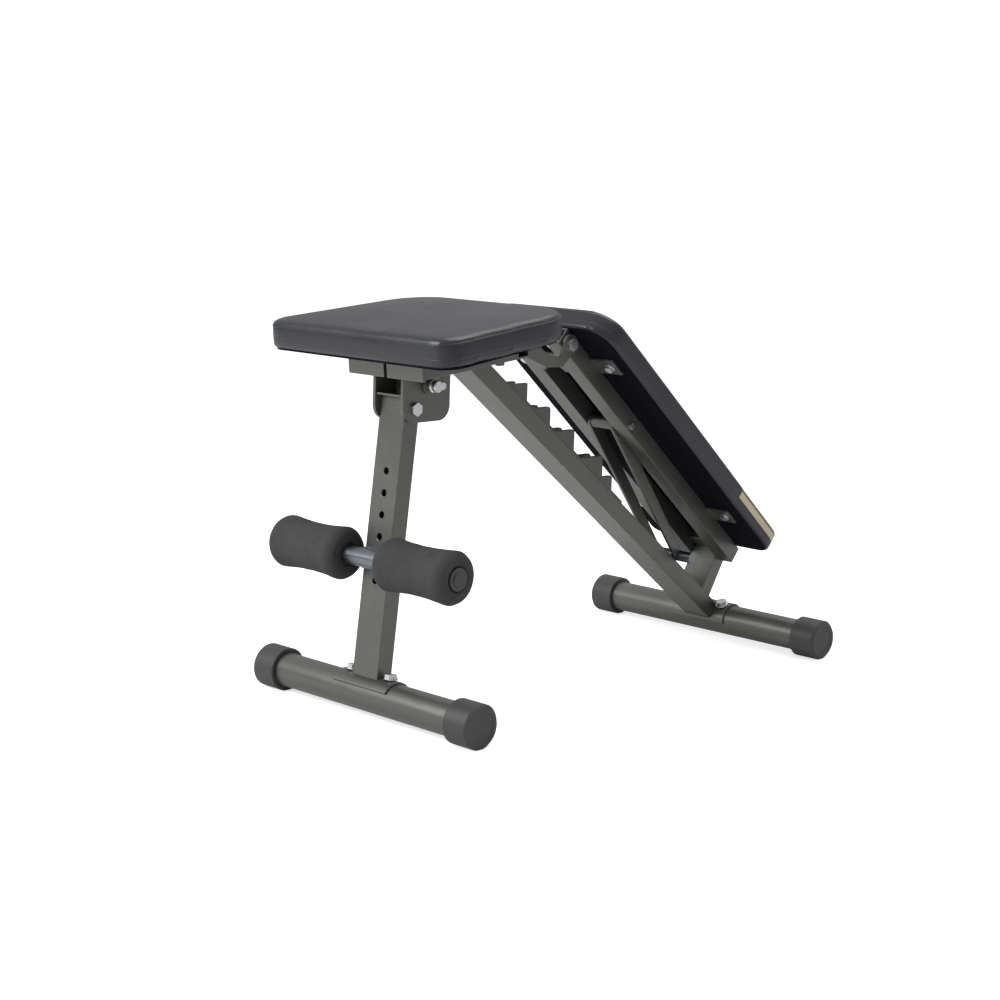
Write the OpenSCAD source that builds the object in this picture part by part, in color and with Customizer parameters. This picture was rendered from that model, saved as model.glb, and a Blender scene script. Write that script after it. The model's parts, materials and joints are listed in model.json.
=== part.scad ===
// Folding decline sit-up bench: a flat seat, a hinged backrest held by a strut on a
// toothed beam, and a folding front leg that carries a pair of foam ankle rollers.
// X is the width, +Y runs from the rollers to the head end, +Z is up, the floor is Z = 0.

/* [Overall] */
// Length over the seat's front edge and the rear foot's caps
bench_length = 686; // [670:1:700]
// Distance from the seat's front edge back to the front foot's axis
seat_overhang = 40; // [34:1:46]
// Height of the seat's underside at its front edge
seat_front_h = 405.5; // [403:0.5:408]
// Slope of the seat, rising to the rear
seat_tilt = 6; // [5:0.5:7]

/* [Feet] */
// Diameter of the round foot tubes
foot_d = 40; // [36:1:42]
// Length of the front foot over its caps
front_foot_w = 356; // [320:1:420]
// Length of the rear foot over its caps
rear_foot_w = 378; // [320:1:440]
// Height of the foot tubes' axes above the floor
foot_h = 25; // [24.5:0.1:25.2]
// Outer diameter of the end caps, before the flat under them
cap_d = 51; // [50.6:0.1:52]
// Length of an end cap
cap_l = 36; // [30:1:45]

/* [Front leg] */
// Width of the post and of the beam's inner gap between the fold plates
post_w = 40; // [36:1:40]
// Depth of the post, front to back
post_d = 22; // [20:1:24]
// Backward lean of the post
leg_lean = 6.7; // [6:0.1:7.4]
// Distance from the front foot's axis up the post to its pivot
leg_length = 326.7; // [324:0.1:329]
// Number of height holes in the post
leg_holes = 6; // [4:1:7]
// Pitch of the height holes
hole_pitch = 24.8; // [22:0.1:26]
// Diameter of the height holes
hole_d = 8.4; // [8:0.1:9]

/* [Ankle rollers] */
// Height hole that holds the roller bar, counted from the lowest
roller_hole = 2; // [1:1:3]
// Diameter of the roller bar
bar_d = 21; // [19:0.5:22]
// Length of one foam roller
roller_l = 110; // [95:1:115]
// Greatest diameter of a roller, near its ends
roller_d = 62.6; // [56:0.2:66]
// Diameter of a roller at its waist
roller_waist_d = 55; // [48:0.5:60]
// Gap between the two rollers, which leaves the post free
roller_gap = 65; // [60:1:74]

/* [Seat pad] */
// Width of the seat pad at its front
seat_w = 300; // [280:1:310]
// Width of the seat pad at its rear
seat_rear_w = 262; // [250:1:290]
// Length of the seat pad
seat_l = 231; // [215:1:240]
// Thickness of the seat pad
seat_t = 35.5; // [32:0.5:38]
// Corner radius of the seat pad at its front
seat_corner = 28; // [20:1:40]
// Corner radius of the seat pad at its rear
seat_rear_corner = 55; // [30:1:60]
// Thickness of the plywood boards in both pads
board_t = 10; // [8:0.5:12]

/* [Beam and ladder] */
// Downward slope of the beam
beam_angle = 37.5; // [37:0.1:38]
// Width of the beam, rear upright and saddle
beam_w = 41; // [40:0.5:41]
// Depth of the beam
beam_d = 23; // [20:1:24]
// Thickness of the two ladder plates
ladder_t = 4; // [3:0.5:4]

/* [Backrest] */
// Slope of the backrest at rest, falling to the head end
back_angle = 40.7; // [40.5:0.1:41]
// Width of the backrest pad
back_w = 200; // [190:1:230]
// Length of the backrest pad
back_l = 476; // [450:1:480]
// Thickness of the backrest pad
back_t = 32; // [28:1:34]
// Corner radius of the backrest pad next to the seat
back_corner = 38; // [25:1:45]
// Corner radius of the backrest pad at the head end
head_corner = 18; // [12:1:30]
// Width of a backrest rail
rail_w = 23; // [20:1:24]
// Depth of a backrest rail
rail_d = 22; // [20:1:24]

/* [Strut] */
// Length of the strut from its pivot to its rod
strut_l = 230.6; // [230:0.1:231]
// Diameter of the strut's cross rod
rod_d = 14; // [12:0.5:14]
// Length of the cross rod
rod_l = 82; // [70:1:84]

/* [Hidden] */
$fn = 48;
wall = 2;
bore_play = 0.08;
plate_t = 4;
weld_gap = 0.05;
bolt_r = 3;
saddle_bolt_r = 4;
roller_pin_r = 4;
pivot_r = 5;
foot_r = foot_d / 2;
cap_r = cap_d / 2;
front_y = seat_overhang - bench_length / 2;
rear_y = bench_length / 2 - cap_r;
saddle_t = 2.6;
saddle_r = foot_r + saddle_t;
post_top = leg_length + 11.5;
plate_x = post_w / 2 + 0.5;
bar_r = bar_d / 2;
bar_y = -post_d / 2 - 3 - bar_r;
first_hole = 130.4;
bar_z = first_hole + (roller_hole - 1) * hole_pitch;
roller_start = roller_gap / 2;
sleeve_r = bar_r + 2;
bar_l = 2 * (roller_start + roller_l) - 2;
seat_origin_y = -bench_length / 2 + seat_t * sin(seat_tilt);
seat_rail_x = 40;
seat_rail_w = 20;
seat_rail_d = 25;
cross_u = 199;
cross_w = 20;
pivot_back = 268;
pivot_h = 413;
ear_x = 45;
rail_x = 21;
pad_drop = 12.7;
rail_top_s = -14;
rail_end_s = 460;
pad_top_s = -18;
strut_s = 162;
strut_n = -1.5;
strut_angle = 53.2;
arm_x = 16;
board_inset = 5;
lock_back = 58;
lock_h = 375;
saddle_bolt_x = 31;
rear_bolt_lean = 24;
front_plate_u = 49;
front_plate_d = 27;
lower_cross_n = 3;
leg_pivot_back = leg_length * sin(leg_lean);
leg_pivot_h = foot_h + leg_length * cos(leg_lean);
fold_bolt_back = 79;
tab_w = 26;
tab_l = 36;
tab_places = [55, 372];
seat_bolt_u = [80, 180];
// Ladder steps: distance behind the front foot's axis of each riser, and its tread's height
steps = [[234, 366], [276, 335], [321, 304], [376, 267], [395, 240]];
ladder_end = 416;
// Height of the strip that joins the steps, and the radius on each lower tread's outer corner
ladder_strip = 8.5;
tread_r = 4.5;

// Places and helpers ---------------------------------------------------------------

function back(d) = front_y + d;
function seat_under(d) = seat_front_h + (back(d) - seat_origin_y) * tan(seat_tilt);
function seat_at(u, z) = [seat_origin_y + u * cos(seat_tilt) - z * sin(seat_tilt),
    seat_front_h + u * sin(seat_tilt) + z * cos(seat_tilt)];
function beam_top(d) =
    foot_h + (rear_y - back(d)) * tan(beam_angle) + beam_d / 2 / cos(beam_angle);

module paint_frame() { color([0.36, 0.36, 0.34]) children(); }
module paint_black() { color([0.1, 0.1, 0.11]) children(); }
module paint_plastic() { color([0.18, 0.18, 0.19]) children(); }
module paint_zinc() { color([0.75, 0.75, 0.77]) children(); }

// Local frames: the leg stands on the front foot, the beam runs up from the rear foot
module leg_frame() { translate([0, front_y, foot_h]) rotate([-leg_lean, 0, 0]) children(); }
module beam_frame() { translate([0, rear_y, foot_h]) rotate([-beam_angle, 0, 0]) children(); }
module seat_frame() {
    translate([0, seat_origin_y, seat_front_h]) rotate([seat_tilt, 0, 0]) children();
}
module back_frame() {
    translate([0, back(pivot_back), pivot_h]) rotate([-back_angle, 0, 0]) children();
}
module strut_frame() {
    back_frame() translate([0, strut_s, strut_n])
        rotate([back_angle - strut_angle, 0, 0]) children();
}

module both_sides() {
    children();
    mirror([1, 0, 0]) children();
}

module side(s) { if (s > 0) children(); else mirror([1, 0, 0]) children(); }

// A cylinder along X from x0 to x1
module rod_x(r, x0, x1) { translate([x0, 0, 0]) rotate([0, 90, 0]) cylinder(r = r, h = x1 - x0); }

// A side-view outline, drawn in Y and Z, made into a plate from x0 to x0 + t
module side_plate(x0, t) { translate([x0, 0, 0]) rotate([90, 0, 90]) linear_extrude(t) children(); }

// A rectangular tube along Y, from y0 to y1, with its section between the other limits
module tube_y(x0, x1, z0, z1, y0, y1) {
    difference() {
        translate([x0, y0, z0]) cube([x1 - x0, y1 - y0, z1 - z0]);
        translate([x0 + wall, y0 - 1, z0 + wall])
            cube([x1 - x0 - 2 * wall, y1 - y0 + 2, z1 - z0 - 2 * wall]);
    }
}

// A slab centred on X from y0 to y0 + l: w0 wide with corners of radius r0 at its start,
// w1 wide with corners of radius r1 at its end. The sides touch both corners' arcs.
module rounded_slab(w0, w1, l, r0, r1, y0, z0, t) {
    c0 = [w0 / 2 - r0, r0];
    c1 = [w1 / 2 - r1, l - r1];
    run = c1 - c0;
    turn = atan2(run[1], run[0]) - acos((r0 - r1) / norm(run));
    out = [cos(turn), sin(turn)];
    p0 = c0 + r0 * out;
    p1 = c1 + r1 * out;
    translate([0, y0, z0]) linear_extrude(t) {
        polygon([[-c0[0], 0], [c0[0], 0], p0, p1, [c1[0], l], [-c1[0], l],
            [-p1[0], p1[1]], [-p0[0], p0[1]]]);
        for (x = [-1, 1]) {
            translate([x * c0[0], c0[1]]) circle(r0);
            translate([x * c1[0], c1[1]]) circle(r1);
        }
    }
}

// A hexagon bolt along +X: its head lies outside x1, its nut outside x0
module bolt_x(r, x0, x1) {
    rod_x(r, x0 - 1.2 * r, x1);
    translate([x1, 0, 0]) rotate([0, 90, 0]) cylinder(r = 1.6 * r, h = 0.9 * r, $fn = 6);
    translate([x0 - r, 0, 0]) rotate([0, 90, 0]) cylinder(r = 1.6 * r, h = r, $fn = 6);
}

// A hexagon bolt pointing up the Z axis, with its head under z = 0 and a washer
module bolt_up(r, l) {
    cylinder(r = r, h = l);
    translate([0, 0, -1.2]) cylinder(r = 2.1 * r, h = 1.2);
    translate([0, 0, -1.2 - 1.1 * r]) cylinder(r = 1.8 * r, h = 1.1 * r, $fn = 6);
}

// Feet -----------------------------------------------------------------------------

// A foot tube, centred, with two bolt holes in its upper wall
module foot_tube(w) {
    difference() {
        rod_x(foot_r, -w / 2 + 3, w / 2 - 3);
        rod_x(foot_r - wall, -w / 2, w / 2);
        for (x = [-1, 1]) translate([x * saddle_bolt_x, 0, 0])
            cylinder(r = saddle_bolt_r + bore_play, h = cap_d);
    }
}

// An end cap: a cup with a chamfered rim, a shallow recess in its end and a flat underneath
module end_cap(w) {
    cap_end = 3;
    chamfer = 3;
    recess_r = 17;
    recess = 0.8;
    difference() {
        translate([w / 2 - cap_l, 0, 0]) rotate([90, 0, 90]) rotate_extrude()
            polygon([[foot_r, 0], [cap_r - 1, 0], [cap_r, 1], [cap_r, cap_l - chamfer],
                [cap_r - chamfer, cap_l], [recess_r + recess, cap_l],
                [recess_r, cap_l - recess], [0, cap_l - recess], [0, cap_l - cap_end],
                [foot_r, cap_l - cap_end]]);
        translate([w / 2 - cap_l - 1, -cap_r, -cap_d - foot_h]) cube([cap_l + 2, cap_d, cap_d]);
    }
}

// The curved plate that is welded under a tube and bolted over a foot tube
module saddle(half_arc, half_w) {
    difference() {
        rod_x(saddle_r, -half_w, half_w);
        rod_x(foot_r, -half_w - 1, half_w + 1);
        for (s = [-1, 1]) rotate([s * half_arc, 0, 0]) translate([0, -s * cap_d / 2, 0])
            cube([4 * half_w, cap_d, 2 * cap_d], center = true);
        translate([-half_w - 1, -cap_d, -cap_d]) cube([2 * half_w + 2, 2 * cap_d, cap_d]);
        for (x = [-1, 1]) translate([x * saddle_bolt_x, 0, 0])
            cylinder(r = saddle_bolt_r + bore_play, h = cap_d);
    }
}

// Two bolts that come down through a saddle into the foot tube
module saddle_bolts() {
    for (x = [-1, 1]) translate([x * saddle_bolt_x, 0, saddle_r + 0.6]) mirror([0, 0, 1])
        bolt_up(saddle_bolt_r, 14);
}

// Front leg ------------------------------------------------------------------------

module front_post() {
    paint_frame() leg_frame() difference() {
        translate([-post_w / 2, -post_d / 2, foot_r]) cube([post_w, post_d, post_top - foot_r]);
        translate([-post_w / 2 + wall, -post_d / 2 + wall, 0])
            cube([post_w - 2 * wall, post_d - 2 * wall, post_top + 1]);
        rod_x(saddle_r, -post_w, post_w);
        translate([0, 0, leg_length]) rod_x(pivot_r + bore_play, -post_w, post_w);
        for (i = [0:leg_holes - 1]) translate([0, post_d, first_hole + i * hole_pitch])
            rotate([90, 0, 0]) cylinder(d = hole_d, h = 2 * post_d);
    }
}

// Plate on the post's top end, with a lip that bears on the lock pin
module post_top_plate() {
    paint_frame() leg_frame() {
        translate([-post_w / 2, -post_d / 2 - 8, post_top]) cube([post_w, post_d + 8.2, 2.5]);
        translate([-post_w / 2, post_d / 2 - 2.8, post_top]) cube([post_w, 3, 19]);
    }
}

module front_saddle() { paint_frame() leg_frame() saddle(62, 44); }

module front_foot_tube() { paint_frame() leg_frame() foot_tube(front_foot_w); }

module front_cap(s) {
    paint_plastic() translate([0, front_y, foot_h]) side(s) end_cap(front_foot_w);
}

module front_foot_bolts() { paint_zinc() leg_frame() saddle_bolts(); }

// Ankle rollers --------------------------------------------------------------------

module bar_frame() { leg_frame() translate([0, bar_y, bar_z]) children(); }

module roller_bar() {
    paint_zinc() bar_frame() difference() {
        rod_x(bar_r, -bar_l / 2, bar_l / 2);
        rod_x(bar_r - 1.6, -bar_l, bar_l);
        rotate([-90, 0, 0]) cylinder(r = roller_pin_r + bore_play, h = post_d);
    }
}

// Block welded behind the bar, which sits on the post's front face
module roller_bar_block() {
    paint_frame() leg_frame() difference() {
        translate([-13, bar_y + 2, bar_z - 12]) cube([26, -post_d / 2 - weld_gap - bar_y - 2, 24]);
        translate([0, bar_y, bar_z]) rod_x(bar_r, -post_w, post_w);
        translate([0, bar_y, bar_z]) rotate([-90, 0, 0])
            cylinder(r = roller_pin_r + bore_play, h = post_d);
    }
}

// Plug in the bar's end, whose flange keeps the roller on
module roller_plug(s) {
    paint_plastic() bar_frame() side(s) {
        rod_x(bar_r - 1.7, bar_l / 2 - 12, bar_l / 2 + 0.5);
        rod_x(bar_r + 2.4, bar_l / 2 + 0.1, bar_l / 2 + 1.6);
        rod_x(bar_r - 3, bar_l / 2 + 0.1, bar_l / 2 + 2.6);
    }
}

// Pin from the rear through post, block and bar wall
module roller_pin() {
    paint_zinc() bar_frame() rotate([-90, 0, 0]) {
        translate([0, 0, 3]) cylinder(r = roller_pin_r, h = -bar_y + post_d / 2 + 6);
        translate([0, 0, -bar_y + post_d / 2 + 0.3]) cylinder(r = 2.2 * roller_pin_r, h = 1.5);
    }
}

// Six-lobed knob on the pin
module roller_knob() {
    knob_r = 16;
    knob_l = 14;
    paint_plastic() bar_frame() rotate([-90, 0, 0])
        translate([0, 0, -bar_y + post_d / 2 + 1.8]) difference() {
            union() {
                cylinder(r = knob_r - 7, h = 4);
                translate([0, 0, 4]) cylinder(r = knob_r, h = knob_l);
            }
            for (a = [0:60:300]) rotate([0, 0, a]) translate([knob_r + 3, 0, 3])
                cylinder(r = 6.5, h = knob_l + 2);
            translate([0, 0, -1]) cylinder(r = roller_pin_r + bore_play, h = 9);
        }
}

module roller_sleeve(s) {
    paint_plastic() bar_frame() side(s) difference() {
        rod_x(sleeve_r, roller_start + 1, roller_start + roller_l - 1.2);
        rod_x(bar_r + bore_play, 0, roller_start + roller_l + 1);
    }
}

// Radius of the foam at t = 0 to 1 along it: full shoulders, a soft waist between them
function foam_r(t) =
    roller_waist_d / 2 + (roller_d - roller_waist_d) / 2 * pow(abs(2 * t - 1), 2) * 1.15
    - 7 * pow(abs(2 * t - 1), 14);

module roller_foam(s) {
    rings = 20;
    paint_black() bar_frame() side(s) difference() {
        translate([roller_start, 0, 0]) rotate([90, 0, 90]) rotate_extrude()
            polygon(concat([[sleeve_r, 0]],
                [for (i = [0:rings]) [foam_r(i / rings), roller_l * i / rings]],
                [[sleeve_r, roller_l]]));
        translate([roller_start + roller_l - 3, 0, 0]) rod_x(bar_r + 3.4, 0, 4);
    }
}

// Seat -----------------------------------------------------------------------------

module seat_rail(s) {
    paint_frame() seat_frame() side(s) difference() {
        tube_y(seat_rail_x, seat_rail_x + seat_rail_w, -seat_rail_d, 0, front_plate_u + 4, cross_u);
        for (u = seat_bolt_u) translate([seat_rail_x + seat_rail_w / 2, u, -seat_rail_d - 1])
            cylinder(r = bolt_r + bore_play, h = seat_rail_d + 2);
    }
}

// Upright plate across the front of the seat frame, with a drain slot at its middle
module seat_front_plate() {
    half_w = seat_rail_x + seat_rail_w;
    paint_frame() seat_frame() difference() {
        translate([-half_w, front_plate_u, -front_plate_d]) cube([2 * half_w, 4, front_plate_d]);
        translate([-2.5, front_plate_u - 1, -front_plate_d - 1]) cube([5, 6, 19]);
    }
}

// Flat plate under the board that ties rails, fold plates and beam together
module seat_spine() {
    paint_frame() seat_frame() translate([-seat_rail_x, front_plate_u + 4, -3])
        cube([2 * seat_rail_x, cross_u - front_plate_u - 4, 3]);
}

module seat_rear_cross() {
    half_w = seat_rail_x + seat_rail_w;
    paint_frame() seat_frame() difference() {
        translate([-half_w, cross_u, -seat_rail_d]) cube([2 * half_w, cross_w, seat_rail_d]);
        translate([-half_w - 1, cross_u + wall, -seat_rail_d + wall])
            cube([2 * half_w + 2, cross_w - 2 * wall, seat_rail_d - 2 * wall]);
    }
}

module seat_board() {
    color([0.45, 0.36, 0.26]) seat_frame() difference() {
        rounded_slab(seat_w - 2 * board_inset, seat_rear_w - 2 * board_inset,
            seat_l - 2 * board_inset, seat_corner - board_inset,
            seat_rear_corner - board_inset, board_inset, 0, board_t);
        for (u = seat_bolt_u, x = [-1, 1])
            translate([x * (seat_rail_x + seat_rail_w / 2), u, -1])
                cylinder(r = bolt_r + bore_play, h = board_t);
    }
}

module seat_cushion() {
    paint_black() seat_frame() difference() {
        rounded_slab(seat_w, seat_rear_w, seat_l, seat_corner, seat_rear_corner, 0, 0, seat_t);
        rounded_slab(seat_w - 2 * board_inset, seat_rear_w - 2 * board_inset,
            seat_l - 2 * board_inset, seat_corner - board_inset,
            seat_rear_corner - board_inset, board_inset, -1, board_t + 1);
    }
}

module seat_bolts() {
    paint_zinc() seat_frame() for (u = seat_bolt_u, x = [-1, 1])
        translate([x * (seat_rail_x + seat_rail_w / 2), u, -seat_rail_d])
            bolt_up(bolt_r, seat_rail_d + board_t - 2);
}

// Fold bracket ---------------------------------------------------------------------

// Side plate of the fold bracket: round lower corners, top edge under the seat spine
module fold_plate(s) {
    front = front_plate_u + 4 - seat_overhang + 6.2;
    behind_plate = front_plate_u + 4 + weld_gap;
    rear = 92;
    low = 334;
    r = 17;
    under = 3.2;
    paint_frame() side(s) difference() {
        side_plate(plate_x, plate_t) {
            polygon([[back(front), low + r], [back(rear), low + r],
                [back(rear), seat_under(rear) - under], seat_at(behind_plate, -under),
                seat_at(behind_plate, -front_plate_d - 1)]);
            translate([back(front + r), low]) square([rear - front - 2 * r, 2 * r]);
            translate([back(front + r), low + r]) circle(r);
            translate([back(rear - r), low + r]) circle(r);
        }
        translate([0, back(leg_pivot_back), leg_pivot_h]) rod_x(pivot_r + bore_play, 0, post_w);
        translate([0, back(lock_back), lock_h]) rod_x(pivot_r + bore_play, 0, post_w);
        translate([0, back(fold_bolt_back), lock_h - 2]) rod_x(bolt_r + bore_play, 0, post_w);
    }
}

module leg_pivot_bolt() {
    x1 = plate_x + plate_t;
    paint_zinc() translate([0, back(leg_pivot_back), leg_pivot_h]) bolt_x(pivot_r, -x1, x1);
}

// Through bolt that ties the two fold plates together
module fold_plate_bolt() {
    x1 = plate_x + plate_t;
    paint_zinc() translate([0, back(fold_bolt_back), lock_h - 2]) bolt_x(bolt_r, -x1, x1);
}

module lock_frame() { translate([0, back(lock_back), lock_h]) children(); }

// Threaded barrel that guides the spring-loaded lock pin
module lock_barrel() {
    x0 = plate_x + plate_t;
    paint_frame() lock_frame() difference() {
        union() {
            rod_x(10, x0, x0 + 3);
            rod_x(8, x0, x0 + 6);
        }
        rod_x(pivot_r + bore_play, 0, post_w);
    }
}

module lock_pin() {
    x0 = plate_x + plate_t;
    paint_zinc() lock_frame() rod_x(pivot_r, -x0, x0 + 13);
}

// Round pull head, screwed on the pin
module lock_knob() {
    x0 = plate_x + plate_t + 6.4;
    paint_zinc() lock_frame() difference() {
        translate([x0, 0, 0]) rotate([90, 0, 90]) rotate_extrude()
            polygon([[0, 0], [6.6, 0], [7.4, 0.8], [7.4, 2.6], [5.8, 3.4], [5.8, 5.4], [7, 6.4],
                [7, 9.4], [6, 10.6], [0, 10.6]]);
        rod_x(pivot_r, 0, x0 + 6.6);
    }
}

// Ear that drops behind the seat and carries one side of the backrest's pivot
module backrest_ear(s) {
    behind_cross = cross_u + cross_w + weld_gap;
    paint_frame() side(s) difference() {
        side_plate(ear_x, plate_t) {
            polygon([[back(226), 388], [back(254), 387], [back(pivot_back + 3), pivot_h - 10],
                [back(pivot_back), pivot_h], [back(pivot_back - 8), pivot_h + 7],
                [back(251), 399], [back(230), 402], [back(216), 411], [back(204), 424],
                seat_at(behind_cross, -4), seat_at(behind_cross, -24)]);
            translate([back(pivot_back), pivot_h]) circle(12);
        }
        translate([0, back(pivot_back), pivot_h]) rod_x(pivot_r + bore_play, 0, 2 * post_w);
    }
}

module backrest_pivot_bolts() {
    paint_zinc() translate([0, back(pivot_back), pivot_h]) both_sides()
        bolt_x(pivot_r, rail_x - 0.6, ear_x + plate_t);
}

// Beam, ladder and rear foot -------------------------------------------------------

module main_beam() {
    upper_end = -690;
    paint_frame() difference() {
        beam_frame() difference() {
            tube_y(-beam_w / 2, beam_w / 2, -beam_d / 2, beam_d / 2, upper_end, 0);
            rod_x(saddle_r, -post_w, post_w);
        }
        seat_frame() translate([-post_w, 0, -3]) cube([2 * post_w, seat_l, seat_l]);
    }
}

// Distance behind the front foot's axis at which the ladder's strip is z high
function strip_at(z) = (beam_top(0) + ladder_strip - z) / tan(beam_angle);

// A strip along the beam's top with a level tread and an upright riser for each step
module ladder_outline() {
    start = 206;
    polygon([[back(start), beam_top(start)], [back(ladder_end), beam_top(ladder_end)],
        [back(ladder_end), beam_top(ladder_end) + ladder_strip],
        [back(start), beam_top(start) + ladder_strip]]);
    for (i = [0:len(steps) - 1]) {
        riser = steps[i][0];
        tread = steps[i][1];
        front = i == 0 ? 196 : strip_at(tread);
        corner = i == 0 ? 1.5 : tread_r;
        polygon(concat([[back(front), beam_top(front)], [back(riser), beam_top(riser)]],
            [for (a = [0:15:90]) [back(riser) - corner + corner * cos(a),
                tread - corner + corner * sin(a)]],
            [[back(front), tread]]));
    }
}

module ladder_plates() {
    paint_frame() both_sides() side_plate(8, ladder_t) ladder_outline();
}

// Short upright on the beam's end, on which the lowered backrest rests
module rear_upright() {
    lean = 32;
    foot_back = 580;
    paint_frame() difference() {
        translate([0, back(foot_back), beam_top(foot_back)]) rotate([-lean, 0, 0]) difference() {
            translate([-post_w / 2, 0, -20]) cube([post_w, 20, 95]);
            translate([-post_w / 2 + wall, wall, -21]) cube([post_w - 2 * wall, 20 - 2 * wall, 97]);
        }
        beam_frame() translate([-post_w, -200, -60]) cube([2 * post_w, 300, 60 + beam_d / 2]);
        translate([0, rear_y, foot_h]) rod_x(saddle_r, -post_w, post_w);
        back_frame() translate([-post_w, 380, lower_cross_n - 0.3]) cube([2 * post_w, 120, 60]);
    }
}

module rear_saddle() {
    paint_frame() translate([0, rear_y, foot_h]) rotate([rear_bolt_lean, 0, 0]) saddle(72, 42);
}

module rear_foot_tube() {
    paint_frame() translate([0, rear_y, foot_h]) rotate([rear_bolt_lean, 0, 0])
        foot_tube(rear_foot_w);
}

module rear_cap(s) {
    paint_plastic() translate([0, rear_y, foot_h]) side(s) end_cap(rear_foot_w);
}

module rear_foot_bolts() {
    paint_zinc() translate([0, rear_y, foot_h]) rotate([rear_bolt_lean, 0, 0]) saddle_bolts();
}

// Backrest -------------------------------------------------------------------------

module backrest_rail(s) {
    paint_frame() back_frame() side(s) difference() {
        tube_y(rail_x, rail_x + rail_w, pad_drop - rail_d, pad_drop, rail_top_s, rail_end_s);
        rod_x(pivot_r + bore_play, 0, 2 * post_w);
        translate([0, strut_s, strut_n]) rod_x(bolt_r + bore_play, 0, 2 * post_w);
    }
}

// Web between the rails near the pivot, with a round-cornered cut at its lower edge
module backrest_upper_cross() {
    start = 12;
    end = 46;
    cut_r = 12;
    paint_frame() back_frame() translate([0, 0, pad_drop - rail_d]) linear_extrude(3) difference() {
        translate([-rail_x, start]) square([2 * rail_x, end - start]);
        translate([-rail_x + 6 + cut_r, end]) circle(cut_r);
        translate([rail_x - 6 - cut_r, end]) circle(cut_r);
        translate([-rail_x + 6 + cut_r, end - cut_r]) square([2 * (rail_x - 6 - cut_r), 2 * cut_r]);
    }
}

// Bar between the rails at the head end, which lands on the rear upright
module backrest_lower_cross() {
    paint_frame() back_frame() translate([-rail_x, 432, lower_cross_n])
        cube([2 * rail_x, 28, pad_drop - lower_cross_n]);
}

// Four flat tabs that stick out from the rails under the board
module backrest_tabs() {
    paint_frame() back_frame() both_sides() for (s = tab_places) difference() {
        translate([rail_x + rail_w, s - tab_w / 2, pad_drop - 3]) cube([tab_l, tab_w, 3]);
        translate([rail_x + rail_w + tab_l - 11, s, 0]) cylinder(r = bolt_r + bore_play, h = 30);
    }
}

module backrest_board() {
    color([0.45, 0.36, 0.26]) back_frame() difference() {
        rounded_slab(back_w - 2 * board_inset, back_w - 2 * board_inset,
            back_l - 2 * board_inset, back_corner - board_inset, head_corner - board_inset,
            pad_top_s + board_inset, pad_drop, board_t);
        both_sides() for (s = tab_places)
            translate([rail_x + rail_w + tab_l - 11, s, 0])
                cylinder(r = bolt_r + bore_play, h = pad_drop + board_t - 1);
    }
}

module backrest_cushion() {
    paint_black() back_frame() difference() {
        rounded_slab(back_w, back_w, back_l, back_corner, head_corner, pad_top_s, pad_drop,
            back_t);
        rounded_slab(back_w - 2 * board_inset, back_w - 2 * board_inset,
            back_l - 2 * board_inset, back_corner - board_inset, head_corner - board_inset,
            pad_top_s + board_inset, pad_drop - 1, board_t + 1);
    }
}

module backrest_bolts() {
    paint_zinc() back_frame() both_sides() for (s = tab_places)
        translate([rail_x + rail_w + tab_l - 11, s, pad_drop - 3]) bolt_up(bolt_r, board_t);
}

// Strut ----------------------------------------------------------------------------

module strut_pivot_bolt() {
    x1 = rail_x + rail_w;
    paint_zinc() back_frame() translate([0, strut_s, strut_n]) bolt_x(bolt_r, -x1, x1);
}

// Tube on the pivot bolt that keeps the strut's arms apart
module strut_spacer() {
    paint_frame() back_frame() translate([0, strut_s, strut_n]) difference() {
        rod_x(8, -arm_x + 0.4, arm_x - 0.4);
        rod_x(bolt_r + bore_play, -arm_x, arm_x);
    }
}

module strut_arm(s) {
    upper_r = 9;
    lower_r = 6.8;
    paint_frame() strut_frame() side(s) difference() {
        side_plate(arm_x, plate_t) {
            polygon([[0, -upper_r], [strut_l, -lower_r], [strut_l, lower_r], [0, upper_r]]);
            circle(upper_r);
            translate([strut_l, 0]) circle(lower_r);
        }
        rod_x(bolt_r + bore_play, 0, post_w);
        translate([0, strut_l, 0]) rod_x(rod_d / 2 - 1.5, 0, post_w);
    }
}

// Cross rod, turned down where it passes through the arms
module strut_rod() {
    paint_zinc() strut_frame() translate([0, strut_l, 0]) {
        rod_x(rod_d / 2, -arm_x, arm_x);
        rod_x(rod_d / 2 - 1.5, -rod_l / 2, rod_l / 2);
        both_sides() rod_x(rod_d / 2, arm_x + plate_t, rod_l / 2);
    }
}

seat_rail(-1);  // seat_rail_left
seat_rail(1);  // seat_rail_right
seat_front_plate();
seat_spine();
seat_rear_cross();
fold_plate(-1);  // fold_plate_left
fold_plate(1);  // fold_plate_right
backrest_ear(-1);  // backrest_ear_left
backrest_ear(1);  // backrest_ear_right
main_beam();
ladder_plates();
rear_upright();
rear_saddle();
rear_foot_tube();
rear_cap(-1);  // rear_cap_left
rear_cap(1);  // rear_cap_right
rear_foot_bolts();
seat_board();
seat_cushion();
seat_bolts();
fold_plate_bolt();
leg_pivot_bolt();
backrest_pivot_bolts();
lock_barrel();
lock_pin();
lock_knob();
front_post();
post_top_plate();
front_saddle();
front_foot_tube();
front_cap(-1);  // front_cap_left
front_cap(1);  // front_cap_right
front_foot_bolts();
roller_bar();
roller_bar_block();
roller_plug(-1);  // roller_plug_left
roller_plug(1);  // roller_plug_right
roller_pin();
roller_knob();
roller_sleeve(-1);  // roller_sleeve_left
roller_foam(-1);  // roller_foam_left
roller_sleeve(1);  // roller_sleeve_right
roller_foam(1);  // roller_foam_right
backrest_rail(-1);  // backrest_rail_left
backrest_rail(1);  // backrest_rail_right
backrest_upper_cross();
backrest_lower_cross();
backrest_tabs();
backrest_board();
backrest_cushion();
backrest_bolts();
strut_pivot_bolt();
strut_spacer();
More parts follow.
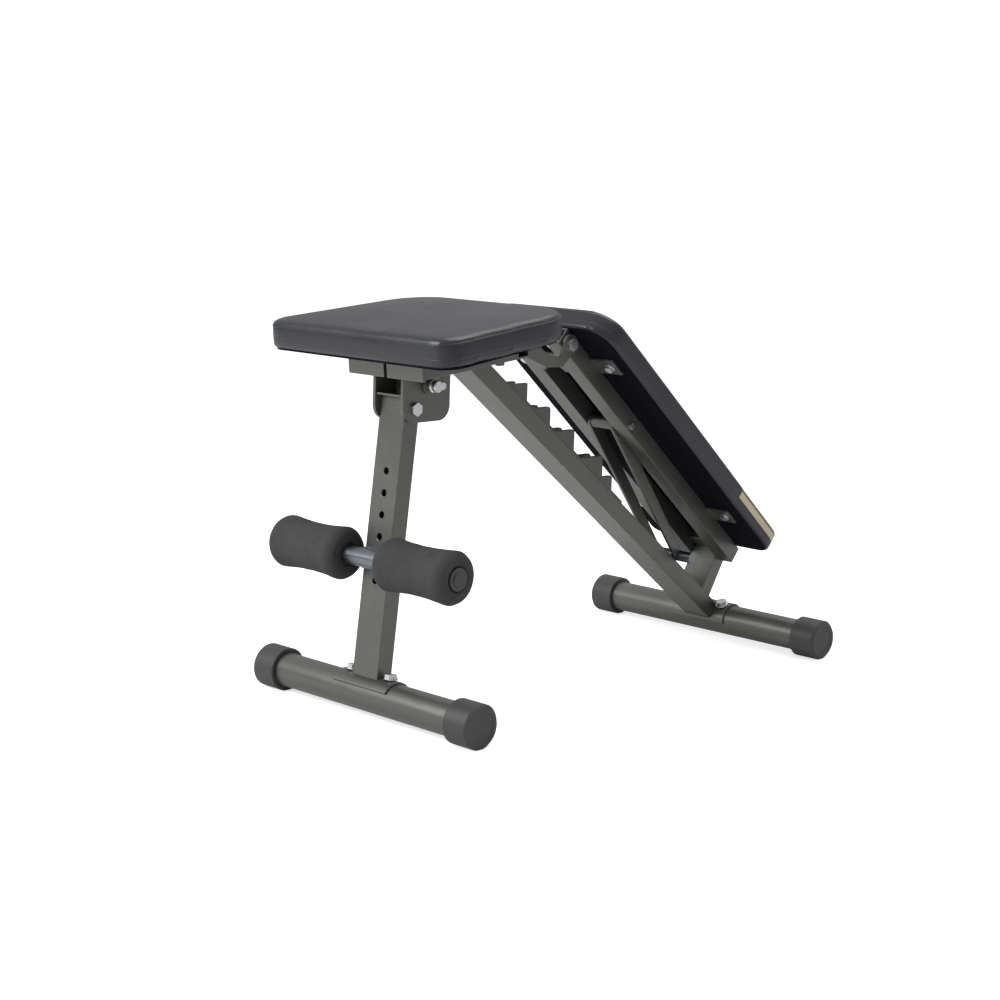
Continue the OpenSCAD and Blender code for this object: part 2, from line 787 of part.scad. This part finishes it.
strut_arm(-1);  // strut_arm_left
strut_arm(1);  // strut_arm_right
strut_rod();
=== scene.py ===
import json
import math

import bmesh
import bpy
from mathutils import Matrix, Vector, noise
from mathutils.bvhtree import BVHTree


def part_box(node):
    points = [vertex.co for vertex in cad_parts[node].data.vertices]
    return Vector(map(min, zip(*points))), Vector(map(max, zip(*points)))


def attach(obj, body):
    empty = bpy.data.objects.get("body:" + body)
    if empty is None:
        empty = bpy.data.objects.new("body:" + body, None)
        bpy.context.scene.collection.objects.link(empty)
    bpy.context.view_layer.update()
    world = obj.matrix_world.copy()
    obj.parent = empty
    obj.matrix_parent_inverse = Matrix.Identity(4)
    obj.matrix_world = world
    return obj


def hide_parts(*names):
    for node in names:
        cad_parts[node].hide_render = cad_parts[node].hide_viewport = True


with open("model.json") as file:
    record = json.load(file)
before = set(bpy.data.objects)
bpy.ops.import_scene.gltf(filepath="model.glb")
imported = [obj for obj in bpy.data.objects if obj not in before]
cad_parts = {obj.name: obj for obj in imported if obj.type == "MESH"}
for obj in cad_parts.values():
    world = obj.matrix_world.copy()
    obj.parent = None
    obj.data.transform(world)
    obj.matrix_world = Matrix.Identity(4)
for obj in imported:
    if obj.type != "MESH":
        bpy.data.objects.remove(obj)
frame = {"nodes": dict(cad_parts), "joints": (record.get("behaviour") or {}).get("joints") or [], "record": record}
nodes = frame["nodes"]
joints = {joint["name"]: joint for joint in frame["joints"]}
finishes = {part["node"]: part["material_slot"] for part in frame["record"]["subparts"]}
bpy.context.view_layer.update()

# ---- Camera, floor and light ------------------------------------------------------------
# The bench stands on a pale studio floor under a large soft light from the front left and a
# weaker one overhead. None of these are part of the bench.

CAMERA_PLACE = Vector((1.5755, -1.7584, 0.6182))
CAMERA_AZIMUTH = math.radians(43.5)
CAMERA_PITCH = math.radians(9.71)
CAMERA_ROLL = math.radians(1.65)
CAMERA_LENS = 70.27
FLOOR_GLOW = 0.62

forward = Vector((
    -math.sin(CAMERA_AZIMUTH) * math.cos(CAMERA_PITCH),
    math.cos(CAMERA_AZIMUTH) * math.cos(CAMERA_PITCH),
    -math.sin(CAMERA_PITCH),
))
level = Vector((math.cos(CAMERA_AZIMUTH), math.sin(CAMERA_AZIMUTH), 0))
upright = level.cross(forward)
across = level * math.cos(CAMERA_ROLL) + upright * math.sin(CAMERA_ROLL)
upward = -level * math.sin(CAMERA_ROLL) + upright * math.cos(CAMERA_ROLL)
camera = bpy.data.objects.new("camera", bpy.data.cameras.new("camera"))
bpy.context.collection.objects.link(camera)
camera.matrix_world = Matrix.Translation(CAMERA_PLACE) @ Matrix((
    across, upward, -forward)).transposed().to_4x4()
camera.data.lens = CAMERA_LENS
camera.data.sensor_width = 36
camera.data.clip_start = 0.05
bpy.context.scene.camera = camera
bpy.context.scene.view_settings.view_transform = "Standard"


def soft_light(name, place, target, size, power):
    lamp = bpy.data.lights.new(name, "AREA")
    lamp.shape = "SQUARE"
    lamp.size = size
    lamp.energy = power
    holder = bpy.data.objects.new(name, lamp)
    bpy.context.collection.objects.link(holder)
    place = Vector(place)
    holder.matrix_world = Matrix.LocRotScale(
        place, (Vector(target) - place).to_track_quat("-Z", "Y"), None)


soft_light("key_light", (-0.9, -2.5, 1.7), (0, 0, 0.2), 1.4, 72)
soft_light("top_light", (0.1, 0.9, 2.5), (0, 0, 0.2), 1.6, 26)


def add_node(tree, kind, inputs=None, **settings):
    """A shader node with its settings and the values of its unlinked sockets."""
    node = tree.nodes.new("ShaderNode" + kind)
    for key, value in settings.items():
        setattr(node, key, value)
    for key, value in (inputs or {}).items():
        node.inputs[key].default_value = value
    return node


def new_material(name, **constants):
    """A node material and its Principled shader, with the constants set on its sockets."""
    material = bpy.data.materials.new(name)
    material.use_nodes = True
    shader = material.node_tree.nodes["Principled BSDF"]
    for key, value in constants.items():
        shader.inputs[key.replace("_", " ")].default_value = value
    return material, material.node_tree, shader


def link_new(name, mesh):
    piece = bpy.data.objects.new(name, mesh)
    bpy.context.collection.objects.link(piece)
    return piece


# The studio's walls are dimmer than its ceiling, and the camera sees plain white behind
world = bpy.data.worlds.new("studio")
bpy.context.scene.world = world
world.use_nodes = True
sky = world.node_tree
sky_place = add_node(sky, "TexCoord")
sky_height = add_node(sky, "SeparateXYZ")
sky_light = add_node(sky, "MapRange", {
    "From Min": -0.2, "From Max": 0.9, "To Min": 0.22, "To Max": 0.85})
sky_ray = add_node(sky, "LightPath")
sky_seen = add_node(sky, "Math", operation="MAXIMUM")
sky.links.new(sky_place.outputs["Generated"], sky_height.inputs["Vector"])
sky.links.new(sky_height.outputs["Z"], sky_light.inputs["Value"])
sky.links.new(sky_light.outputs["Result"], sky_seen.inputs[0])
sky.links.new(sky_ray.outputs["Is Camera Ray"], sky_seen.inputs[1])
sky.nodes["Background"].inputs["Color"].default_value = (1, 1, 1, 1)
sky.links.new(sky_seen.outputs["Value"], sky.nodes["Background"].inputs["Strength"])

floor_mesh = bmesh.new()
bmesh.ops.create_grid(floor_mesh, x_segments=1, y_segments=1, size=90)
floor_data = bpy.data.meshes.new("floor")
floor_mesh.to_mesh(floor_data)
floor = link_new("floor", floor_data)
paper, paper_tree, paper_shader = new_material(
    "pale_floor", Base_Color=(0.75, 0.75, 0.75, 1), Roughness=0.9,
    Emission_Color=(1, 1, 1, 1))
paper_ray = add_node(paper_tree, "LightPath")
paper_glow = add_node(paper_tree, "Math", operation="MULTIPLY")
paper_glow.inputs[1].default_value = FLOOR_GLOW
paper_tree.links.new(paper_ray.outputs["Is Camera Ray"], paper_glow.inputs[0])
paper_tree.links.new(paper_glow.outputs["Value"], paper_shader.inputs["Emission Strength"])
floor.data.materials.append(paper)

# ---- Powder-coated frame ----------------------------------------------------------------
# Every tube and plate of the frame is mild steel, welded, then powder coated in a satin
# gunmetal grey. The coat has a fine orange-peel grain and rubs bright on outer edges.


def new_group(name, inputs, outputs):
    """A shader node group with its named sockets: returns it with its input and output."""
    group = bpy.data.node_groups.new(name, "ShaderNodeTree")
    for label, kind, value in inputs:
        socket = group.interface.new_socket(label, in_out="INPUT", socket_type=kind)
        socket.default_value = value
    for label, kind in outputs:
        group.interface.new_socket(label, in_out="OUTPUT", socket_type=kind)
    return group, group.nodes.new("NodeGroupInput"), group.nodes.new("NodeGroupOutput")


def place_group(tree, group, inputs):
    node = tree.nodes.new("ShaderNodeGroup")
    node.node_tree = group
    for key, value in inputs.items():
        node.inputs[key].default_value = value
    return node


# Rounded edges: the shading normal of a softened edge, and a broken mask along it
edges, edge_in, edge_out = new_group(
    "rounded edges",
    [("Radius", "NodeSocketFloat", 0.001), ("Patchiness", "NodeSocketFloat", 60.0)],
    [("Normal", "NodeSocketVector"), ("Worn", "NodeSocketFloat")])
rounding = add_node(edges, "Bevel", samples=6)
edges.links.new(edge_in.outputs["Radius"], rounding.inputs["Radius"])
flat_normal = add_node(edges, "NewGeometry")
alike = add_node(edges, "VectorMath", operation="DOT_PRODUCT")
edges.links.new(rounding.outputs["Normal"], alike.inputs[0])
edges.links.new(flat_normal.outputs["Normal"], alike.inputs[1])
edge_mask = add_node(edges, "MapRange", {"From Min": 0.995, "From Max": 0.8})
edges.links.new(alike.outputs["Value"], edge_mask.inputs["Value"])
edge_place = add_node(edges, "TexCoord")
patches = add_node(edges, "TexNoise", {"Detail": 4.0, "Roughness": 0.65})
edges.links.new(edge_place.outputs["Object"], patches.inputs["Vector"])
edges.links.new(edge_in.outputs["Patchiness"], patches.inputs["Scale"])
patch_mask = add_node(edges, "MapRange", {"From Min": 0.5, "From Max": 0.68})
edges.links.new(patches.outputs["Fac"], patch_mask.inputs["Value"])
worn = add_node(edges, "Math", operation="MULTIPLY")
edges.links.new(edge_mask.outputs["Result"], worn.inputs[0])
edges.links.new(patch_mask.outputs["Result"], worn.inputs[1])
edges.links.new(rounding.outputs["Normal"], edge_out.inputs["Normal"])
edges.links.new(worn.outputs["Value"], edge_out.inputs["Worn"])

# Grain: fine bumps of one size, and slow cloudy variation across the piece
grain, grain_in, grain_out = new_group(
    "surface grain",
    [("Fineness", "NodeSocketFloat", 900.0), ("Cloud Size", "NodeSocketFloat", 14.0)],
    [("Height", "NodeSocketFloat"), ("Cloud", "NodeSocketFloat")])
grain_place = add_node(grain, "TexCoord")
fine = add_node(grain, "TexNoise", {"Detail": 3.0, "Roughness": 0.6})
cloud = add_node(grain, "TexNoise", {"Detail": 5.0, "Roughness": 0.6})
grain.links.new(grain_place.outputs["Object"], fine.inputs["Vector"])
grain.links.new(grain_place.outputs["Object"], cloud.inputs["Vector"])
grain.links.new(grain_in.outputs["Fineness"], fine.inputs["Scale"])
grain.links.new(grain_in.outputs["Cloud Size"], cloud.inputs["Scale"])
grain.links.new(fine.outputs["Fac"], grain_out.inputs["Height"])
grain.links.new(cloud.outputs["Fac"], grain_out.inputs["Cloud"])


def blend_colours(tree, factor, dark, light):
    """A colour between two others, by a mask."""
    mix = add_node(tree, "Mix", data_type="RGBA")
    mix.inputs[6].default_value = (*dark, 1)
    if isinstance(light, tuple):
        mix.inputs[7].default_value = (*light, 1)
    else:
        tree.links.new(light, mix.inputs[7])
    tree.links.new(factor, mix.inputs[0])
    return mix


def grained_finish(name, colour, spread, roughness, fineness, bump, edge=0.0008,
                   worn_colour=None, **constants):
    """A finish with grain, cloudy colour and roughness, softened edges and edge wear."""
    material, tree, shader = new_material(name, **constants)
    surface = place_group(tree, grain, {"Fineness": fineness})
    rim = place_group(tree, edges, {"Radius": edge})
    dark = tuple(c * (1 - spread) for c in colour)
    light = tuple(c * (1 + spread) for c in colour)
    tone = blend_colours(tree, surface.outputs["Cloud"], dark, light)
    if worn_colour:
        wear = add_node(tree, "Mix", data_type="RGBA")
        tree.links.new(rim.outputs["Worn"], wear.inputs[0])
        tree.links.new(tone.outputs[2], wear.inputs[6])
        wear.inputs[7].default_value = (*worn_colour, 1)
        tone = wear
    tree.links.new(tone.outputs[2], shader.inputs["Base Color"])
    polish = add_node(tree, "MapRange", {
        "From Min": 0.3, "From Max": 0.7, "To Min": roughness - 0.05, "To Max": roughness + 0.06})
    tree.links.new(surface.outputs["Cloud"], polish.inputs["Value"])
    tree.links.new(polish.outputs["Result"], shader.inputs["Roughness"])
    relief = add_node(tree, "Bump", {"Strength": bump, "Distance": 0.0003})
    tree.links.new(surface.outputs["Height"], relief.inputs["Height"])
    tree.links.new(rim.outputs["Normal"], relief.inputs["Normal"])
    tree.links.new(relief.outputs["Normal"], shader.inputs["Normal"])
    return material


powder_coat = grained_finish(
    "gunmetal_powder_coat", (0.128, 0.128, 0.121), 0.12, 0.36, 1500, 0.3, 0.0016,
    worn_colour=(0.2, 0.2, 0.19), Metallic=0.7)

# ---- Bolts, bars, caps and knobs --------------------------------------------------------
# Bolts, nuts and pins are zinc plated. The roller bar and the strut's rod are plain satin
# steel. Foot caps, bar plugs and knobs are moulded in black plastic with a matte skin.

zinc_plate = grained_finish(
    "zinc_plate", (0.62, 0.62, 0.63), 0.1, 0.3, 2500, 0.1, 0.0005,
    worn_colour=(0.7, 0.7, 0.72), Metallic=1.0)

bar_steel, bar_tree, bar_shader = new_material("satin_bar_steel", Metallic=1.0)
bar_place = add_node(bar_tree, "TexCoord")
bar_stretch = add_node(bar_tree, "Mapping", {"Scale": (40, 1500, 1500)})
bar_lines = add_node(bar_tree, "TexNoise", {"Scale": 1.0, "Detail": 4.0})
bar_tree.links.new(bar_place.outputs["Object"], bar_stretch.inputs["Vector"])
bar_tree.links.new(bar_stretch.outputs["Vector"], bar_lines.inputs["Vector"])
bar_tone = blend_colours(bar_tree, bar_lines.outputs["Fac"], (0.13, 0.145, 0.16),
                         (0.24, 0.26, 0.28))
bar_polish = add_node(bar_tree, "MapRange", {"To Min": 0.25, "To Max": 0.45})
bar_relief = add_node(bar_tree, "Bump", {"Strength": 0.15, "Distance": 0.0002})
bar_tree.links.new(bar_lines.outputs["Fac"], bar_polish.inputs["Value"])
bar_tree.links.new(bar_lines.outputs["Fac"], bar_relief.inputs["Height"])
bar_tree.links.new(bar_tone.outputs[2], bar_shader.inputs["Base Color"])
bar_tree.links.new(bar_polish.outputs["Result"], bar_shader.inputs["Roughness"])
bar_tree.links.new(bar_relief.outputs["Normal"], bar_shader.inputs["Normal"])

moulded_plastic = grained_finish(
    "moulded_black_plastic", (0.035, 0.035, 0.037), 0.15, 0.5, 1100, 0.3, 0.0012,
    worn_colour=(0.06, 0.06, 0.062))

# ---- Vinyl, backing cloth and foam ------------------------------------------------------
# Both pads wear black vinyl with a fine pebble grain, and the plywood under each pad is
# covered in black cloth. The ankle rollers are bare closed-cell foam.


def vinyl_finish(name, colour, roughness):
    """Vinyl with a pebble grain: small cells with soft creases between them, the creases darkened with painted
    shade.
    """
    material, tree, shader = new_material(name)
    shader.inputs["Specular IOR Level"].default_value = 0.5
    place = add_node(tree, "TexCoord")
    pebbles = add_node(tree, "TexVoronoi", {"Scale": 700.0}, feature="SMOOTH_F1")
    pebbles.inputs["Smoothness"].default_value = 0.6
    pores = add_node(tree, "TexNoise", {"Scale": 2600.0, "Detail": 2.0})
    cloud = add_node(tree, "TexNoise", {"Scale": 9.0, "Detail": 4.0, "Roughness": 0.55})
    for texture in (pebbles, pores, cloud):
        tree.links.new(place.outputs["Object"], texture.inputs["Vector"])
    height = add_node(tree, "Math", operation="MULTIPLY_ADD")
    height.inputs[1].default_value = 0.25
    tree.links.new(pores.outputs["Fac"], height.inputs[0])
    tree.links.new(pebbles.outputs["Distance"], height.inputs[2])
    relief = add_node(tree, "Bump", {"Strength": 0.22, "Distance": 0.0004}, invert=True)
    tree.links.new(height.outputs["Value"], relief.inputs["Height"])
    tree.links.new(relief.outputs["Normal"], shader.inputs["Normal"])
    tone = blend_colours(tree, cloud.outputs["Fac"], tuple(c * 0.85 for c in colour),
                         tuple(c * 1.15 for c in colour))
    # Painted shade: the base colour darkens from each pebble's middle towards the creases between pebbles, where
    # shade would fall.
    painted_crease_shade = blend_colours(tree, pebbles.outputs["Distance"], (1, 1, 1), (0.72, 0.72, 0.72))
    shade = add_node(tree, "Mix", data_type="RGBA", blend_type="MULTIPLY")
    shade.inputs[0].default_value = 1.0
    tree.links.new(tone.outputs[2], shade.inputs[6])
    tree.links.new(painted_crease_shade.outputs[2], shade.inputs[7])
    tree.links.new(shade.outputs[2], shader.inputs["Base Color"])
    polish = add_node(tree, "MapRange", {
        "From Min": 0.3, "From Max": 0.7, "To Min": roughness - 0.06, "To Max": roughness + 0.08})
    tree.links.new(cloud.outputs["Fac"], polish.inputs["Value"])
    tree.links.new(polish.outputs["Result"], shader.inputs["Roughness"])
    return material


black_vinyl = vinyl_finish("black_vinyl", (0.014, 0.015, 0.020), 0.36)
cream_vinyl = vinyl_finish("cream_vinyl", (0.58, 0.5, 0.35), 0.5)

backing_cloth, cloth_tree, cloth_shader = new_material(
    "backing_cloth", Roughness=0.95)
cloth_shader.inputs["Specular IOR Level"].default_value = 0.08
cloth_place = add_node(cloth_tree, "TexCoord")
threads = []
for axis in ("X", "Y"):
    thread = add_node(cloth_tree, "TexWave", {"Scale": 320.0, "Distortion": 0.6, "Detail": 1.0},
                      bands_direction=axis)
    cloth_tree.links.new(cloth_place.outputs["Object"], thread.inputs["Vector"])
    threads.append(thread)
weave = add_node(cloth_tree, "Math", operation="MULTIPLY")
cloth_tree.links.new(threads[0].outputs["Fac"], weave.inputs[0])
cloth_tree.links.new(threads[1].outputs["Fac"], weave.inputs[1])
cloth_tone = blend_colours(cloth_tree, weave.outputs["Value"], (0.003, 0.003, 0.006),
                           (0.009, 0.009, 0.015))
cloth_relief = add_node(cloth_tree, "Bump", {"Strength": 0.3, "Distance": 0.0004})
cloth_tree.links.new(weave.outputs["Value"], cloth_relief.inputs["Height"])
cloth_tree.links.new(cloth_tone.outputs[2], cloth_shader.inputs["Base Color"])
cloth_tree.links.new(cloth_relief.outputs["Normal"], cloth_shader.inputs["Normal"])

foam_skin, foam_tree, foam_shader = new_material("roller_foam", Roughness=0.93)
foam_shader.inputs["Specular IOR Level"].default_value = 0.3
foam_place = add_node(foam_tree, "TexCoord")
cells = add_node(foam_tree, "TexVoronoi", {"Scale": 850.0}, feature="F1")
rubbing = add_node(foam_tree, "TexNoise", {"Scale": 35.0, "Detail": 6.0, "Roughness": 0.7})
for texture in (cells, rubbing):
    foam_tree.links.new(foam_place.outputs["Object"], texture.inputs["Vector"])
foam_tone = blend_colours(foam_tree, rubbing.outputs["Fac"], (0.026, 0.026, 0.027),
                          (0.062, 0.062, 0.063))
foam_relief = add_node(foam_tree, "Bump", {"Strength": 0.5, "Distance": 0.0006}, invert=True)
foam_tree.links.new(cells.outputs["Distance"], foam_relief.inputs["Height"])
foam_tree.links.new(foam_tone.outputs[2], foam_shader.inputs["Base Color"])
foam_tree.links.new(foam_relief.outputs["Normal"], foam_shader.inputs["Normal"])

FINISH = {
    "frame_paint": powder_coat, "black_vinyl": black_vinyl, "board_backing": backing_cloth,
    "black_plastic": moulded_plastic, "roller_foam": foam_skin, "zinc_steel": zinc_plate,
    "bar_steel": bar_steel,
}
for name, part in nodes.items():
    for place in part.material_slots:
        place.material = FINISH[finishes[name]]

# ---- Seat and backrest pads -------------------------------------------------------------
# Each pad is foam over plywood under a sewn vinyl cover, held tight along the board. One
# welt runs round it under the top panel and a thinner one just above the board.

SEAT_FRONT = (0, -0.3393, 0.4055)
SEAT_TILT = math.radians(6)
BACKREST_REST_TILT = math.radians(-40.7)
SEAT_PLACE = Matrix.Translation(SEAT_FRONT) @ Matrix.Rotation(SEAT_TILT, 4, "X")
BACKREST_PLACE = (Matrix.Translation(joints["backrest_tilt"]["pos_m"])
                  @ Matrix.Rotation(BACKREST_REST_TILT, 4, "X"))
CLOTH_FRAMES = 20
COVER_CAP = 0.004
GRIP_DEPTH = 0.016
WELT_SPACING = 0.005


def rounded_block(widths, length, corners, start, low, high, rim):
    """A block with upright rounded corners and a softer top rim, in the pad's own frame."""
    block = bmesh.new()
    bmesh.ops.create_cube(block, size=1)
    bmesh.ops.scale(block, vec=(1, length, high - low), verts=block.verts)
    for width, ahead in zip(widths, (False, True)):
        bmesh.ops.scale(block, vec=(width, 1, 1),
                        verts=[v for v in block.verts if (v.co.y > 0) == ahead])
    bmesh.ops.translate(block, vec=(0, start + length / 2, (high + low) / 2), verts=block.verts)
    for corner, ahead in zip(corners, (False, True)):
        uprights = [e for e in block.edges
                    if abs(e.verts[0].co.z - e.verts[1].co.z) > 1e-5
                    and (e.verts[0].co.y > start + length / 2) == ahead]
        bmesh.ops.bevel(block, geom=uprights, offset=corner, offset_type="OFFSET", segments=12,
                        profile=0.5, affect="EDGES", material=-1)
    top_edges = [e for e in block.edges if all(v.co.z > high - 1e-5 for v in e.verts)
                 and len(e.link_faces) == 2
                 and any(abs(f.normal.z) < 0.5 for f in e.link_faces)]
    bmesh.ops.bevel(block, geom=top_edges, offset=rim, offset_type="OFFSET", segments=4,
                    profile=0.5, affect="EDGES", material=-1)
    return block


def evaluated_mesh(piece):
    depsgraph = bpy.context.evaluated_depsgraph_get()
    return bpy.data.meshes.new_from_object(piece.evaluated_get(depsgraph))


def puffed_pad(name, widths, length, corners, start, low, high):
    """A pad whose cover was swollen by its foam, held along the board at the bottom."""
    data = bpy.data.meshes.new(name)
    block = rounded_block(widths, length, corners, start, low, high, 0.006)
    block.to_mesh(data)
    block.free()
    pad = link_new(name, data)
    remesh = pad.modifiers.new("remesh", "REMESH")
    remesh.mode = "VOXEL"
    remesh.voxel_size = 0.005
    pad.data = evaluated_mesh(pad)
    pad.modifiers.clear()
    rest = [v.co.copy() for v in pad.data.vertices]
    held = pad.vertex_groups.new(name="held")
    for vertex in pad.data.vertices:
        height = (vertex.co.z - low) / (high - low)
        along = (vertex.co.y - start) / length
        inside = min((widths[0] + (widths[1] - widths[0]) * along) / 2 - abs(vertex.co.x),
                     length / 2 - abs(vertex.co.y - start - length / 2))
        grip = 1.0 if height < 0.2 else max(0.0, 1.0 - inside / GRIP_DEPTH) * 0.9
        held.add([vertex.index], grip, "REPLACE")
    cloth = pad.modifiers.new("cloth", "CLOTH")
    cloth.settings.quality = 6
    cloth.settings.mass = 0.4
    cloth.settings.tension_stiffness = 25
    cloth.settings.compression_stiffness = 25
    cloth.settings.bending_stiffness = 1.5
    cloth.settings.use_pressure = True
    cloth.settings.uniform_pressure_force = 4
    cloth.settings.vertex_group_mass = "held"
    cloth.settings.effector_weights.gravity = 0
    cloth.collision_settings.use_self_collision = False
    for number in range(1, CLOTH_FRAMES + 1):
        bpy.context.scene.frame_set(number)
    swollen = evaluated_mesh(pad)
    pad.modifiers.clear()
    for vertex, puffed, start_place in zip(pad.data.vertices, swollen.vertices, rest):
        move = puffed.co - start_place
        vertex.co = start_place + move * min(1.0, COVER_CAP / max(move.length, 1e-9))
    bpy.context.scene.frame_set(1)
    smoothing = bmesh.new()
    smoothing.from_mesh(pad.data)
    for _ in range(2):
        bmesh.ops.smooth_vert(smoothing, verts=[
            v for v in smoothing.verts if v.co.z > low + 0.004], factor=0.5,
            use_axis_x=True, use_axis_y=True, use_axis_z=True)
    smoothing.to_mesh(pad.data)
    smoothing.free()
    for polygon in pad.data.polygons:
        polygon.use_smooth = True
    finer = pad.modifiers.new("finer", "SUBSURF")
    finer.levels = finer.render_levels = 1
    return pad


def side_path(widths, length, corners, start, spacing):
    """Points round the pad's outline, each with the direction that looks outwards."""
    near, far = corners
    near_centre = Vector((widths[0] / 2 - near, start + near, 0))
    far_centre = Vector((widths[1] / 2 - far, start + length - far, 0))
    run = far_centre - near_centre
    turn = math.atan2(run.y, run.x) - math.acos((near - far) / run.length)
    flip = Vector((-1, 1, 1))
    half = math.pi / 2
    arcs = [(far_centre, far, turn, half), (far_centre * flip, far, half, math.pi - turn),
            (near_centre * flip, near, math.pi - turn, 3 * half),
            (near_centre, near, 3 * half, 4 * half + turn)]
    points = []
    for number, (centre, radius, first, last) in enumerate(arcs):
        steps = max(4, round(radius * (last - first) / spacing))
        for step in range(steps + 1):
            angle = first + (last - first) * step / steps
            out = Vector((math.cos(angle), math.sin(angle), 0))
            points.append((centre + out * radius, out))
        here = points[-1][0]
        next_centre, next_radius, next_first, _ = arcs[(number + 1) % 4]
        away = next_centre + Vector((math.cos(next_first), math.sin(next_first), 0)) * next_radius
        count = round((away - here).length / spacing)
        for step in range(1, count):
            points.append((here.lerp(away, step / count), out))
    return points


def welt(name, pad, outline, height, radius, sink, place, body):
    """A sewn welt round the pad at one height, lying on the cover's own surface."""
    depsgraph = bpy.context.evaluated_depsgraph_get()
    cover = BVHTree.FromObject(pad, depsgraph)
    line = []
    for point, out in outline:
        hit = cover.ray_cast(point + Vector((0, 0, height)) + out * 0.03, -out, 0.06)[0]
        if hit is not None:
            line.append(hit - out * sink)
    curve = bpy.data.curves.new(name, "CURVE")
    curve.dimensions = "3D"
    curve.bevel_depth = radius
    curve.bevel_resolution = 2
    spline = curve.splines.new("POLY")
    spline.points.add(len(line) - 1)
    spline.use_cyclic_u = True
    for point, co in zip(spline.points, line):
        point.co = (*co, 1)
    sketch = link_new(name + "_line", curve)
    cord = link_new(name, evaluated_mesh(sketch))
    bpy.data.objects.remove(sketch)
    cord.data.transform(place)
    cord.data.materials.clear()
    cord.data.materials.append(black_vinyl)
    for polygon in cord.data.polygons:
        polygon.use_smooth = True
    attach(cord, body)


SEAT = dict(widths=(0.3, 0.262), length=0.231, corners=(0.028, 0.055), start=0.0)
BACKREST = dict(widths=(0.2, 0.2), length=0.476, corners=(0.038, 0.018), start=-0.018)
SHRINK = 0.0008


def make_pad(name, size, low, high, place, body, node, cut=None):
    pad = puffed_pad(name, [w - 2 * SHRINK for w in size["widths"]], size["length"] - 2 * SHRINK,
                     [corner - SHRINK for corner in size["corners"]],
                     size["start"] + SHRINK, low, high)
    pad.data.materials.clear()
    pad.data.materials.append(black_vinyl)
    if cut is not None:
        pad.data.materials.append(cream_vinyl)
        cut(pad)
    outline = side_path(size["widths"], size["length"], size["corners"], size["start"],
                        WELT_SPACING)
    welt(name + "_upper_welt", pad, outline, high - 0.0075, 0.0011, 0.0004, place, body)
    welt(name + "_lower_welt", pad, outline, low + 0.010, 0.0007, 0.0003, place, body)
    pad.data.transform(place)
    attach(pad, body)
    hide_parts(node)


make_pad("seat_pad", SEAT, 0.0008, 0.0345, SEAT_PLACE, "seat_and_beam", "seat_cushion")
PANEL_START = 0.343
PANEL_LOW = 0.0262


def cut_panel(pad):
    """Cuts the cover along the edges of the cream panel at the backrest's head end."""
    cover = bmesh.new()
    cover.from_mesh(pad.data)
    for spot, way in (((0, PANEL_START, 0), (0, 1, 0)), ((0, 0, PANEL_LOW), (0, 0, 1))):
        bmesh.ops.bisect_plane(cover, geom=cover.verts[:] + cover.edges[:] + cover.faces[:],
                               dist=1e-5, plane_co=spot, plane_no=way)
    for face in cover.faces:
        middle = face.calc_center_median()
        face.material_index = int(middle.y > PANEL_START and middle.z > PANEL_LOW)
        face.smooth = True
    cover.to_mesh(pad.data)
    cover.free()


make_pad("backrest_pad", BACKREST, 0.0135, 0.0437, BACKREST_PLACE, "backrest",
         "backrest_cushion", cut_panel)

# ---- Foam rollers -----------------------------------------------------------------------
# Each ankle roller is a sleeve of black foam on a plastic tube, full at both shoulders and
# drawn in at the waist, with a small round hollow at its outer end for the bar's plug.


def foam_roller(side, body):
    axis = Vector(joints[body + "_spin"]["pos_m"])
    low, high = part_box("roller_foam_" + side)
    inner, outer = (high.x, low.x) if side == "left" else (low.x, high.x)
    length = abs(outer - inner)
    way = 1 if outer > inner else -1
    shape = bmesh.new()
    rings = 26
    profile = [(0.0128, 0.0), (0.018, -0.0002), (0.0225, 0.0)]
    for ring in range(rings + 1):
        t = ring / rings
        swell = 0.0275 + 0.0038 * abs(2 * t - 1) ** 2 * 1.15
        shoulder = min(t, 1 - t) * length
        drop = 0.0085 * max(0.0, 1 - shoulder / 0.0105) ** 2
        profile.append((swell - drop, t * length * 0.996 + 0.0002))
    profile += [(0.0185, length), (0.0146, length - 0.0006), (0.0142, length - 0.003),
                (0.0128, length - 0.003)]
    row = [shape.verts.new((inner + way * x, axis.y, axis.z + r)) for r, x in profile]
    line = [shape.edges.new(pair) for pair in zip(row, row[1:])]
    line.append(shape.edges.new((row[-1], row[0])))
    bmesh.ops.spin(shape, geom=row + line, cent=axis, axis=(1, 0, 0), angle=2 * math.pi,
                   steps=84, use_merge=True)
    bmesh.ops.remove_doubles(shape, verts=shape.verts, dist=1e-6)
    for vertex in shape.verts:
        out = vertex.co - axis
        out.x = 0
        if out.length > 0.02:
            vertex.co += out.normalized() * 0.00035 * noise.noise(vertex.co * 70)
    bmesh.ops.recalc_face_normals(shape, faces=shape.faces)
    data = bpy.data.meshes.new("ankle_roller_" + side)
    shape.to_mesh(data)
    shape.free()
    roller = link_new("ankle_roller_" + side, data)
    for polygon in data.polygons:
        polygon.use_smooth = True
    data.materials.append(foam_skin)
    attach(roller, body)
    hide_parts("roller_foam_" + side)


foam_roller("left", "roller_left")
foam_roller("right", "roller_right")
